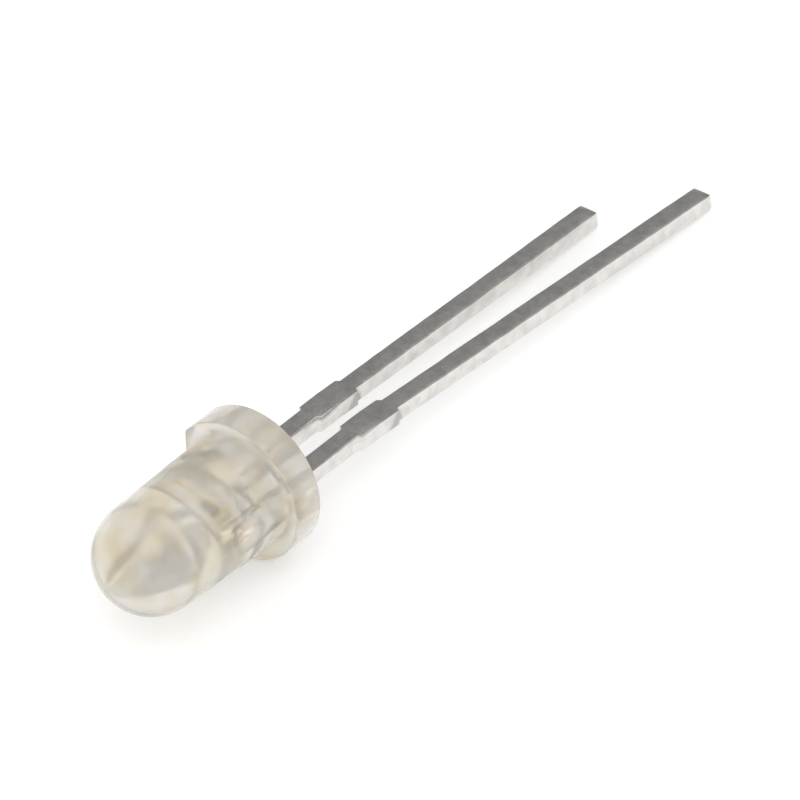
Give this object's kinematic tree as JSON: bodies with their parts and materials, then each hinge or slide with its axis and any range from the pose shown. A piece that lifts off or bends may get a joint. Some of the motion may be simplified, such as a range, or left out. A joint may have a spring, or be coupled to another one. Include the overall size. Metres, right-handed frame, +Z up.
{
  "type": "laser diode",
  "caption": "Laser diode in a clear epoxy package with a round lens, a flange with one flat, and two square leads of unequal length",
  "frame": {"origin": "on the surface it lies on, in the middle of its footprint", "axes": "+Z up; the leads run towards +X and the dome towards -X, a little upwards; +Y is the cathode's side"},
  "size_m": [0.0208, 0.0036, 0.0039],
  "materials": {
    "clear_epoxy": "clear cast epoxy, polished",
    "tinned_steel": "tin-plated stamped strip",
    "die_solder": "thin solder film",
    "submount_ceramic": "fine lapped ceramic",
    "chip_crystal": "cleaved crystal",
    "gold_wire": "drawn gold"
  },
  "bodies": {
    "root": {"lens_body": "clear_epoxy", "cathode_lead": "tinned_steel", "anode_lead": "tinned_steel", "solder_layer": "die_solder", "submount": "submount_ceramic", "laser_chip": "chip_crystal", "chip_wire": "gold_wire", "submount_wire": "gold_wire"}
  },
  "joints": []
}
